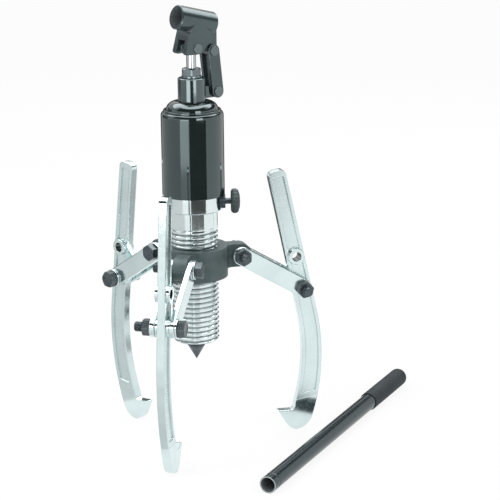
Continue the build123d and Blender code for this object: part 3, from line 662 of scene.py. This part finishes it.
def refined(node, material, bevel, segments=2, reshape=None):
    """A copy of a CAD node with its flats merged, its sharp edges rounded, and those faces marked for the
    lighter edges of gloss paint, partly wear and partly painted highlight.
    """
    mesh = bmesh.new()
    mesh.from_mesh(nodes[node].data)
    mesh.faces.layers.float.new("edge")
    bmesh.ops.remove_doubles(mesh, verts=mesh.verts, dist=CAD_WELD)
    bmesh.ops.dissolve_limit(
        mesh, angle_limit=math.radians(CAD_FLATNESS), verts=mesh.verts, edges=mesh.edges
    )
    if reshape is not None:
        reshape(mesh)
    corner = math.radians(CAD_CORNER)
    sharp = [edge for edge in mesh.edges if edge.is_manifold and edge.calc_face_angle(0.0) > corner]
    edge_wear_and_highlight_mark = mesh.faces.layers.float["edge"]
    bevelled = bmesh.ops.bevel(
        mesh,
        geom=sharp,
        offset=bevel,
        segments=segments,
        profile=0.5,
        affect="EDGES",
        clamp_overlap=True,
    )
    for face in bevelled["faces"]:
        face[edge_wear_and_highlight_mark] = 1.0
    return finish_piece(mesh, node, material)


# ---------------------------------------------------------------- hydraulic unit

AXIS = Matrix.Identity(4)
tank_low, tank_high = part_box("reservoir_tube")
tank_radius = (tank_high.x - tank_low.x) / 2
collar_top = tank_low.z
tank_top = tank_high.z


def screw_cylinder():
    """Helical thread, plain band, the collar under the tank, and the mouth of the ram's bore."""
    low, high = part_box("threaded_cylinder")
    bottom = low.z
    collar_radius = (high.x - low.x) / 2
    seam = collar_top - COLLAR_HEIGHT
    groove_bottom = seam - SEAM_GROOVE * 2
    band_bottom = seam - PLAIN_BAND
    mesh = bmesh.new()
    add_thread(
        mesh,
        AXIS,
        THREAD_RADIUS,
        THREAD_DEPTH,
        THREAD_PITCH,
        bottom,
        band_bottom,
        THREAD_END_CUT,
        THREAD_FADE,
        columns=144,
        rows=16,
    )
    band = [
        (THREAD_RADIUS, band_bottom),
        (THREAD_RADIUS, groove_bottom),
        (THREAD_RADIUS - SEAM_GROOVE, groove_bottom),
        (THREAD_RADIUS - SEAM_GROOVE, seam),
        (collar_radius - COLLAR_FOOT_CUT, seam),
        (collar_radius, seam + COLLAR_FOOT_CUT),
        (collar_radius, collar_top - COLLAR_HEAD_CUT),
        (collar_radius - COLLAR_HEAD_CUT, collar_top),
        (tank_radius - COLLAR_SEAT_WIDTH, collar_top),
    ]
    add_lathe(mesh, AXIS, rounded(band, 0.5 * MM), segments=144)
    bore_mouth = [
        (THREAD_RADIUS - THREAD_END_CUT, bottom),
        (RAM_BORE_RADIUS, bottom),
        (RAM_BORE_RADIUS, bottom + RAM_BORE_SHOWN),
    ]
    add_lathe(mesh, AXIS, bore_mouth, segments=144)
    finish_piece(mesh, "threaded_cylinder", "thread_chrome")


def tank():
    """Oil tank tube with its rolled shoulder."""
    shoulder = (tank_radius - SHOULDER_WIDTH, tank_top - SHOULDER_HEIGHT)
    profile = [
        (tank_radius - TANK_WALL, collar_top),
        (tank_radius - TANK_FOOT_CUT_WIDTH, collar_top),
        (tank_radius, collar_top + TANK_FOOT_CUT_HEIGHT),
        (tank_radius, shoulder[1]),
        *shoulder_arc(shoulder, SHOULDER_WIDTH, SHOULDER_HEIGHT),
        (tank_radius - TANK_WALL, tank_top),
    ]
    mesh = bmesh.new()
    add_lathe(mesh, AXIS, profile, segments=160)
    finish_piece(mesh, "reservoir_tube", "gloss_black_paint", SOFT_CREASE)


def cap():
    """Tank cap: rim, step, dome, and the boss of the filler screw."""
    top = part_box("reservoir_cap")[1].z
    rim = tank_radius - SHOULDER_WIDTH
    dome = rim - CAP_STEP
    shoulder = tank_top + CAP_RIM_HEIGHT
    rim_step = [(rim - 2 * MM, tank_top), (rim, tank_top), (rim, shoulder), (dome, shoulder)]
    crown = shoulder_arc((CAP_FLAT_RADIUS, shoulder), dome - CAP_FLAT_RADIUS, top - shoulder, fullness=1.1)
    profile = [*rounded(rim_step, 0.9 * MM), *crown, (CAP_HOLE_RADIUS, top)]
    mesh = bmesh.new()
    add_lathe(mesh, AXIS, profile, segments=160)
    screw = middle("filler_screw")
    boss = [(FILLER_BOSS_RADIUS, tank_top), (FILLER_BOSS_RADIUS, top), (FILLER_HOLE_RADIUS, top)]
    add_lathe(mesh, Matrix.Translation((screw.x, screw.y, 0)), rounded(boss, 0.8 * MM), segments=48)
    finish_piece(mesh, "reservoir_cap", "gloss_black_paint", SOFT_CREASE)


def filler_screw():
    """Small hexagon screw that closes the filler hole."""
    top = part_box("filler_screw")[1].z
    centre = middle("filler_screw")
    mesh = bmesh.new()
    place = Matrix.Translation((centre.x, centre.y, 0))
    add_hexagon(mesh, place, FILLER_FLATS, top - FILLER_HEAD_HEIGHT, top)
    finish_piece(mesh, "filler_screw", "dark_steel")


def gland_nut():
    """Hexagon nut with a round flange, through which the plunger runs."""
    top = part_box("gland_nut")[1].z
    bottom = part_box("pump_cylinder")[1].z
    flange_top = bottom + GLAND_FLANGE_HEIGHT
    under_nut = 9 * MM
    flange = [
        (GLAND_BORE_RADIUS, bottom),
        (GLAND_FLANGE_RADIUS, bottom),
        (GLAND_FLANGE_RADIUS, flange_top),
        (under_nut, flange_top),
    ]
    mesh = bmesh.new()
    add_lathe(mesh, AXIS, rounded(flange, 0.8 * MM), segments=96)
    side = Vector(joints["handle_pump"]["axis"]).cross(UP)
    add_hexagon(mesh, placed((0, 0, 0), UP, side), GLAND_FLATS, flange_top, top, hole=GLAND_HOLE_RADIUS)
    finish_piece(mesh, "gland_nut", "gland_steel")


def centre_point():
    """Hardened cone on the end of the ram."""
    low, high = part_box("centre_point")
    radius = (high.x - low.x) / 2
    half_cone = math.radians(30)
    stud_radius = 8 * MM
    collar = low.z + radius / math.tan(half_cone)
    collar_end = collar + 4.5 * MM
    profile = [(0, low.z), (radius, collar), (radius, collar_end), (stud_radius, collar_end)]
    mesh = bmesh.new()
    add_lathe(mesh, AXIS, rounded(profile, 0.8 * MM), segments=96)
    finish_piece(mesh, "centre_point", "black_oxide")


def release_valve():
    """Grained knob with scallops in its rim, on a plain stem in a round body."""
    turn = joints["release_turn"]
    outwards = Vector(turn["axis"])
    level = Vector((0, 0, turn["pos_m"][2]))
    place = placed(level, outwards, UP)
    knob = [
        (VALVE_STEM_RADIUS, KNOB_START),
        (KNOB_RADIUS - 4 * MM, KNOB_START),
        (KNOB_RADIUS - 1.6 * MM, KNOB_START + 1 * MM),
        (KNOB_RADIUS, KNOB_START + 3.8 * MM),
        (KNOB_RADIUS, KNOB_END - 6 * MM),
        (KNOB_RADIUS - 1.8 * MM, KNOB_END - 3 * MM),
        (KNOB_RADIUS / 2, KNOB_END - 0.6 * MM),
        (0, KNOB_END),
    ]
    mesh = bmesh.new()
    add_lathe(mesh, place, rounded(knob, 1.1 * MM), segments=144, flutes=18, flute_depth=0.8 * MM)
    finish_piece(mesh, "release_valve_knob", "knob_black", SOFT_CREASE)
    stem = [(VALVE_STEM_RADIUS, VALVE_STEM_START), (VALVE_STEM_RADIUS, VALVE_STEM_END)]
    mesh = bmesh.new()
    add_lathe(mesh, place, stem, segments=48)
    finish_piece(mesh, "release_valve_stem", "black_oxide")
    body = [
        (VALVE_BODY_RADIUS - 1.5 * MM, VALVE_BODY_START),
        (VALVE_BODY_RADIUS, VALVE_BODY_START),
        (VALVE_BODY_RADIUS, VALVE_BODY_END),
        (VALVE_STEM_RADIUS + 0.1 * MM, VALVE_BODY_END),
    ]
    mesh = bmesh.new()
    add_lathe(mesh, place, rounded(body, 0.9 * MM), segments=72)
    finish_piece(mesh, "release_valve_body", "black_oxide")


def pump_pins():
    """Headed pins of the pump linkage."""
    across = Vector(joints["handle_pump"]["axis"])
    head_radius = 7.25 * MM
    head_height = 1.8 * MM
    head_cut = 0.3 * MM
    radii = {"plunger_pin": 5 * MM, "link_top_pin": 4.5 * MM, "link_foot_pin": 4.5 * MM}
    for node, radius in radii.items():
        low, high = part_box(node)
        head_lean = head_radius * math.sqrt(1 - across.x**2)
        half = ((high.x - low.x) / 2 - head_lean) / abs(across.x)
        face = half - head_height
        profile = [
            (0, -half),
            (head_radius - head_cut, -half),
            (head_radius, -face),
            (radius, -face),
            (radius, face),
            (head_radius, face),
            (head_radius - head_cut, half),
            (0, half),
        ]
        mesh = bmesh.new()
        add_lathe(mesh, placed(middle(node), across), rounded(profile, 0.7 * MM), segments=64)
        finish_piece(mesh, node, "pin_paint")


def socket():
    """Handle socket, its bore left thin in paint."""
    obj = refined("handle_socket", "dark_steel", bevel=0.8 * MM)
    bore = mounts["pump_handle_socket"]
    along = Vector(bore["axis"]).normalized()
    bore_middle = Vector(bore["pos_m"])
    wall = bore["dims"]["r_mm"] * MM + 0.3 * MM
    wall_end = bore["dims"]["length_mm"] / 2 * MM - MM
    thin = 0.3

    def bare(centre, _):
        """How bare the steel is: a little on the bore's wall, not at all on its rim or elsewhere."""
        arm = centre - bore_middle
        depth = arm.dot(along)
        return thin * float((arm - along * depth).length < wall and abs(depth) < wall_end)

    mark_faces(obj, "bare", bare)


def return_spring():
    """Return spring, copied from its CAD node onto a mesh of its own; the real spring shortens on the gland
    as the ram comes out.
    """
    mesh = bmesh.new()
    mesh.from_mesh(nodes["return_spring"].data)
    obj = finish_piece(mesh, "return_spring", "pin_steel", SOFT_CREASE)
    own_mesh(obj)


# ---------------------------------------------------------------- legs

FASTENERS = {"bolt": "black_oxide", "nut": "black_oxide", "washer": "chrome"}


def leg_bolt_parts(bolt, nut, washer, place):
    """Bolt, nut and washer of one pivot; the place's Z points from the nut to the head."""
    head = SEAT + WASHER_HEIGHT
    nut_end = -SEAT - NUT_HEIGHT
    bolt_end = nut_end - BOLT_OVERHANG
    add_hexagon(bolt, place, BOLT_FLATS, head, head + HEAD_HEIGHT)
    add_lathe(bolt, place, [(BOLT_RADIUS, -SEAT), (BOLT_RADIUS, head)], segments=48)
    add_thread(
        bolt,
        place,
        BOLT_RADIUS,
        BOLT_THREAD_DEPTH,
        BOLT_PITCH,
        bolt_end,
        -SEAT,
        BOLT_END_CUT,
        fade=0.0,
        columns=36,
        rows=8,
    )
    add_lathe(bolt, place, [(BOLT_RADIUS - BOLT_END_CUT, bolt_end), (0, bolt_end)], segments=36)
    add_hexagon(nut, place, BOLT_FLATS, nut_end, -SEAT, hole=BOLT_RADIUS, cut_bottom=True)
    ring = [(BOLT_RADIUS, SEAT), (WASHER_RADIUS, SEAT), (WASHER_RADIUS, head), (BOLT_RADIUS, head)]
    add_lathe(washer, place, rounded(ring, 0.9 * MM), segments=72)


def leg_places():
    """The place of each leg's inner and outer bolt."""
    places = {}
    for leg in LEGS:
        inner = Vector(joints[f"{leg}_link_lift"]["pos_m"])
        outer = Vector(joints[f"{leg}_jaw_swing"]["pos_m"])
        head_side = Vector(joints[f"{leg}_jaw_swing"]["axis"])
        arm = Vector(mounts[f"{leg}_spare_hole"]["pos_m"]) - outer
        places[leg] = (
            placed(inner, head_side, outer - inner),
            placed(outer, head_side, arm.cross(head_side)),
        )
    return places


def leg_fasteners():
    """Bolts, nuts and washers of all six pivots."""
    inner = [bmesh.new() for _ in FASTENERS]
    for leg, (inner_place, outer_place) in leg_places().items():
        leg_bolt_parts(*inner, inner_place)
        outer = [bmesh.new() for _ in FASTENERS]
        leg_bolt_parts(*outer, outer_place)
        for mesh, (kind, material) in zip(outer, FASTENERS.items()):
            finish_piece(mesh, f"{leg}_outer_{kind}", material)
    for mesh, (kind, material) in zip(inner, FASTENERS.items()):
        finish_piece(mesh, f"inner_{kind}s", material)


def jaw(leg, place):
    """A forged jaw: a taper on its foot's cheeks, rougher sunk panels, darker hole walls."""
    to_jaw = place.inverted()
    arm = to_jaw @ Vector(mounts[f"{leg}_spare_hole"]["pos_m"])
    arm.z = 0
    up_arm = arm.normalized()
    taper_foot = TAPER_START - SOLE_DROP
    taper_top = TAPER_END - SOLE_DROP

    def taper(mesh):
        """Slopes the cheeks of the foot between two heights."""
        bmesh.ops.bisect_plane(
            mesh,
            geom=[*mesh.verts, *mesh.edges, *mesh.faces],
            plane_co=place @ (up_arm * taper_foot),
            plane_no=place.to_3x3() @ up_arm,
        )
        for vertex in mesh.verts:
            point = to_jaw @ vertex.co
            height = point.dot(up_arm)
            if taper_foot < height < taper_top and abs(point.z) > ARM_HALF:
                slope = (taper_top - height) / (taper_top - taper_foot)
                limit = ARM_HALF + (FOOT_HALF - ARM_HALF) * slope
                point.z = math.copysign(min(abs(point.z), limit), point.z)
                vertex.co = place @ point

    def recess(centre, _):
        """1 in the sunk panels, 0 elsewhere."""
        point = to_jaw @ centre
        return float(PANEL_LOW < abs(point.z) < PANEL_HIGH and point.dot(up_arm) > taper_top)

    def bore(centre, normal):
        """1 on the walls of the two holes, 0 elsewhere."""
        point = to_jaw @ centre
        point.z = 0
        near = min(point.length, (point - arm).length) < HOLE_REACH
        sideways = abs((to_jaw.to_3x3() @ normal).z) < 0.5
        return float(near and sideways)

    def on_taper_foot(point):
        """Whether a point lies on a cheek, where its taper starts."""
        return abs(point.dot(up_arm) - taper_foot) < 0.05 * MM and abs(point.z) > ARM_HALF

    obj = refined(f"{leg}_jaw", "forged_chrome", bevel=1.0 * MM, segments=3, reshape=taper)
    mark_faces(obj, "recess", recess)
    mark_faces(obj, "bore", bore)
    for edge in obj.data.edges:
        if all(on_taper_foot(to_jaw @ obj.data.vertices[i].co) for i in edge.vertices):
            edge.use_edge_sharp = True


# ---------------------------------------------------------------- pump handle


def pump_handle():
    """Painted tube with a ring near its open end, and a moulded grip."""
    mount = mounts["pump_handle_end"]
    outwards = Vector(mount["axis"])
    mouth = Vector(mount["pos_m"]) + outwards * (GROOVE_END + mount["dims"]["length_mm"] * MM / 2)
    place = placed(mouth, -outwards)
    inner = HANDLE_RADIUS - HANDLE_WALL
    groove_floor = HANDLE_RADIUS - GROOVE_DEPTH
    under_grip = HANDLE_RADIUS - GRIP_SINK
    tube = [
        (0, GRIP_START),
        (inner, GRIP_START),
        (inner, 0),
        (HANDLE_RADIUS, 0),
        (HANDLE_RADIUS, GROOVE_START),
        (groove_floor, GROOVE_START + GROOVE_SLOPE),
        (groove_floor, GROOVE_END - GROOVE_SLOPE),
        (HANDLE_RADIUS, GROOVE_END),
        (HANDLE_RADIUS, GRIP_START - MM),
        (under_grip, GRIP_START - MM),
        (under_grip, HANDLE_LENGTH),
    ]
    mesh = bmesh.new()
    add_lathe(mesh, place, rounded(tube, 0.5 * MM), segments=96)
    tube_piece = finish_piece(mesh, "handle_tube", "handle_paint")
    to_tube = place.inverted()

    cut_end, groove_edge, bore_wall = 0.8, 0.4, 0.35

    def bare(centre, _):
        """How bare the steel is: most at the cut end, less at the groove's edge and in the bore."""
        point = to_tube @ centre
        if point.z < 0.1 * MM:
            return cut_end
        if GROOVE_START - 0.4 * MM < point.z < GROOVE_START + 0.2 * MM:
            return groove_edge
        return bore_wall * float(point.xy.length < inner + 0.2 * MM)

    mark_faces(tube_piece, "bare", bare)
    dome = (GRIP_RADIUS - GRIP_DOME, GRIP_START + GRIP_LENGTH - GRIP_DOME)
    grip = [
        (under_grip, GRIP_START),
        (GRIP_RADIUS - 0.6 * MM, GRIP_START),
        (GRIP_RADIUS, GRIP_START + 0.7 * MM),
        (GRIP_RADIUS, dome[1]),
        *shoulder_arc(dome, GRIP_DOME, GRIP_DOME),
        (0, GRIP_START + GRIP_LENGTH),
    ]
    mesh = bmesh.new()
    add_lathe(mesh, place, grip, segments=96)
    finish_piece(mesh, "handle_grip", "grip_rubber", SOFT_CREASE)


# ---------------------------------------------------------------- build

screw_cylinder()
tank()
cap()
filler_screw()
gland_nut()
centre_point()
release_valve()
pump_pins()
return_spring()
refined("plunger", "plunger_chrome", bevel=0.4 * MM)
leg_fasteners()
pump_handle()
refined("carrier", "cast_black", bevel=2.2 * MM, segments=3)
socket()
refined("pump_cylinder", "pump_paint", bevel=0.6 * MM)
refined("pump_link_near", "dark_steel", bevel=0.7 * MM)
refined("pump_link_far", "dark_steel", bevel=0.7 * MM)
for leg, (_, outer_place) in leg_places().items():
    jaw(leg, outer_place)
for leg in LEGS:
    refined(f"{leg}_link_head_side", "forged_chrome", bevel=0.5 * MM)
    refined(f"{leg}_link_nut_side", "forged_chrome", bevel=0.5 * MM)

for name, obj in nodes.items():
    obj.data.materials.clear()
    obj.data.materials.append(MATERIALS[slot_of_node[name]])


# ---------------------------------------------------------------- studio

CAMERA_PLACE = (0.6715, -2.3251, 0.9447)
CAMERA_PAN = 14.205  # degrees from +Y towards -X
CAMERA_DIP = 15.112  # degrees below the horizon
CAMERA_ROLL = -0.593
CAMERA_LENS = 124.03
CAMERA_SENSOR = 36.0
CAMERA_HEADING = 16.1  # degrees from -Y towards +X, seen from the screw

FLOOR_SIZE = 12.0
AIM = Vector((0, 0, 0.3))

# Name, near edge and far edge as (radius, height), first and last heading, level
CARDS = (
    # A third of a metre off, in front: the tank's dark middle and bright window, the screw's grey
    ("dark_front", (0.33, 0.285), (0.33, 0.64), -11, 14, 0.07),
    ("dark_front_right", (0.33, 0.285), (0.33, 0.44), 14, 47, 0.07),
    ("dark_front_foot", (0.33, 0.25), (0.33, 0.285), -11, 47, 0.16),
    ("grey_front_right", (0.33, 0.435), (0.33, 0.47), 14, 40, 1.4),
    ("bright_right", (0.33, 0.47), (0.33, 0.64), 14, 36, 4.5),
    ("grey_front", (0.33, 0.04), (0.33, 0.25), -4, 20, 0.72),
    # To the left: strips of floor that the chrome shows, from white to grey, and two higher cards
    ("bright_left_near", (1.1, 0.005), (1.3, 0.005), -46, -14, 0.95),
    ("white_left", (1.3, 0.005), (1.9, 0.005), -46, -14, 1.0),
    ("white_left_low", (1.2, 0.06), (1.2, 0.15), -46, -14, 1.0),
    ("bright_left", (1.9, 0.005), (2.9, 0.005), -46, -14, 2.3),
    ("dark_left_high", (2.6, 0.06), (2.6, 1.2), -140, -100, 0.22),
    ("bright_left_top", (0.60, 0.39), (0.60, 0.52), -42, -12, 4.5),
    ("grey_left_far", (0.6, 0.005), (1.1, 0.005), -46, -14, 0.86),
    ("grey_left_mid", (0.38, 0.005), (0.6, 0.005), -46, -14, 0.79),
    ("grey_left", (0.2, 0.003), (3.5, 0.003), -150, -16, 0.72),
    # Strips of floor behind and to the right
    ("dark_back", (1.28, 0.004), (3.5, 0.004), 150, 210, 0.08),
    ("dark_back_near", (0.55, 0.004), (1.28, 0.004), 186, 212, 0.12),
    ("grey_right", (0.5, 0.004), (1.1, 0.004), 84, 112, 0.5),
    # Walls and ceiling of the room
    ("dark_back_wall", (3.5, 0.004), (3.5, 1.3), 150, 210, 0.12),
    ("dark_back_strip", (3.5, 1.75), (3.5, 2.2), 140, 168, 0.05),
    ("dark_room", (2.2, 1.1), (1.3, 2.6), -75, 75, 0.05),
    ("dark_side", (2.6, 1.3), (2.3, 1.95), 75, 145, 0.05),
    ("overhead", (0.0, 2.6), (1.2, 2.6), -180, 180, 4.5),
    ("overhead_back", (1.2, 2.6), (2.6, 2.4), 100, 260, 4.5),
)

# Name, place, size and power
LAMPS = (
    ("key", (-1.2, -1.6, 2.2), 1.4, 26),
    ("fill", (1.9, -0.9, 1.4), 1.6, 11),
    ("rim", (0.4, 2.0, 1.9), 1.6, 12),
)


def make_world():
    """White surroundings, dimmer as a light than as a backdrop."""
    world = bpy.data.worlds.new("studio")
    bpy.context.scene.world = world
    n = Nodes(world, output="ShaderNodeOutputWorld")
    light = n.add("ShaderNodeBackground", Color=WHITE, Strength=0.8)
    backdrop = n.add("ShaderNodeBackground", Color=WHITE)
    n.surface(n.mix_shader(n.seen_rays(), light.outputs["Background"], backdrop.outputs["Background"]))


def make_floor():
    """White floor that still takes a soft shadow."""
    n = new_material("floor_white")
    diffuse = n.add("ShaderNodeBsdfDiffuse", Color=(0.95, 0.95, 0.95, 1))
    glow = n.add("ShaderNodeEmission")
    share = n.combine("MULTIPLY", n.seen_rays(), 0.88)
    half = FLOOR_SIZE / 2
    corners = [(-half, -half, 0), (half, -half, 0), (half, half, 0), (-half, half, 0)]
    data = bpy.data.meshes.new("floor")
    data.from_pydata(corners, [], [(0, 1, 2, 3)])
    shader = n.mix_shader(share, diffuse.outputs["BSDF"], glow.outputs["Emission"])
    data.materials.append(n.surface(shader))
    floor = new_object("floor", data)


def swept_card(name, near, far, start, end, level):
    """A glowing card that only reflections see, swept about the screw between two edges.

    Its start and end are headings in degrees, to the right of the camera's own side.
    """
    steps = 24
    pairs = []
    mesh = bmesh.new()
    for step in range(steps + 1):
        angle = math.radians(CAMERA_HEADING + start + (end - start) * step / steps)
        way = Vector((math.sin(angle), -math.cos(angle), 0))
        pairs.append([mesh.verts.new(way * radius + UP * height) for radius, height in (near, far)])
    for before, after in zip(pairs, pairs[1:]):
        mesh.faces.new((before[0], after[0], after[1], before[1]))
    data = mesh_data(mesh, name)
    n = new_material(f"card_{level}")
    glow = n.add("ShaderNodeEmission", Strength=level)
    data.materials.append(n.surface(glow.outputs["Emission"]))
    card = new_object(name, data)
    card.visible_camera = False
    card.visible_diffuse = False
    card.visible_shadow = False
    card.visible_transmission = False


def soft_lamp(name, place, size, power):
    """Round area lamp aimed at the middle of the tool, unseen in reflections."""
    data = bpy.data.lights.new(name, "AREA")
    data.shape = "DISK"
    data.size = size
    data.energy = power
    lamp = new_object(name, data)
    lamp.location = place
    lamp.rotation_euler = (AIM - Vector(place)).to_track_quat("-Z", "Y").to_euler()
    lamp.visible_glossy = False


def make_camera():
    """Camera at the stated place, panned, dipped and rolled."""
    data = bpy.data.cameras.new("camera")
    data.sensor_width = CAMERA_SENSOR
    data.lens = CAMERA_LENS
    camera = new_object("camera", data)
    pan = Matrix.Rotation(math.radians(CAMERA_PAN), 4, "Z")
    dip = Matrix.Rotation(math.radians(90 - CAMERA_DIP), 4, "X")
    roll = Matrix.Rotation(math.radians(CAMERA_ROLL), 4, "Z")
    camera.matrix_world = Matrix.Translation(CAMERA_PLACE) @ pan @ dip @ roll
    bpy.context.scene.camera = camera


make_world()
make_floor()
for card in CARDS:
    swept_card(*card)
for lamp in LAMPS:
    soft_lamp(*lamp)
make_camera()
bpy.context.scene.view_settings.view_transform = "Standard"
